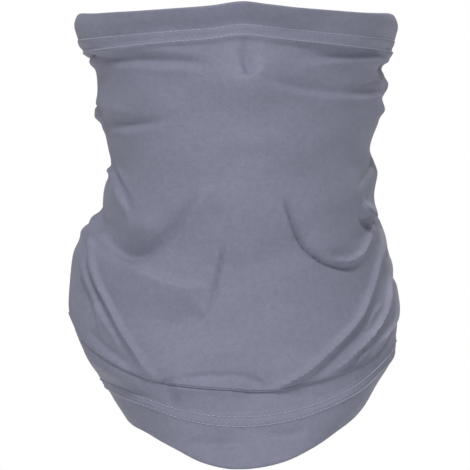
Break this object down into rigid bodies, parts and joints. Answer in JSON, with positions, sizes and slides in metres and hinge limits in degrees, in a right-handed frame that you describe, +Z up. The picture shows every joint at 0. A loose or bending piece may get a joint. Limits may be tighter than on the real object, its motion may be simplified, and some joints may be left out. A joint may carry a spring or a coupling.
{
  "type": "neck gaiter",
  "caption": "Knitted neck gaiter in its worn shape: a stretch tube over nose, mouth and neck, hemmed at both ends, with a face edge that pulls down.",
  "frame": {"origin": "on the wearer's neck axis, at mid-height of the gaiter", "axes": "+Z up along the neck, the face looks along -Y, +X towards the viewer's right, which is the wearer's left"},
  "size_m": [0.173, 0.1981, 0.2448],
  "materials": {
    "knit": "matt stretch jersey with a soft sheen, blue-grey",
    "thread": "matt sewing thread, blue-grey"
  },
  "bodies": {
    "neck_tube": {"tube_panel": "knit", "bottom_hem": "knit", "bottom_hem_needle_thread_lower": "thread", "bottom_hem_needle_thread_upper": "thread", "bottom_hem_looper_thread": "thread", "back_seam_allowance": "knit", "back_seam_overlock_thread": "thread"},
    "face_edge": {"top_hem": "knit", "top_hem_needle_thread_upper": "thread", "top_hem_needle_thread_lower": "thread", "top_hem_looper_thread": "thread"}
  },
  "joints": [
    {"name": "face_edge_pull_down", "type": "slide", "parent": "neck_tube", "child": "face_edge", "axis": [0, 0, -1], "range_m": [0, 0.085], "deforming": ["tube_panel", "back_seam_allowance", "back_seam_overlock_thread"]}
  ]
}
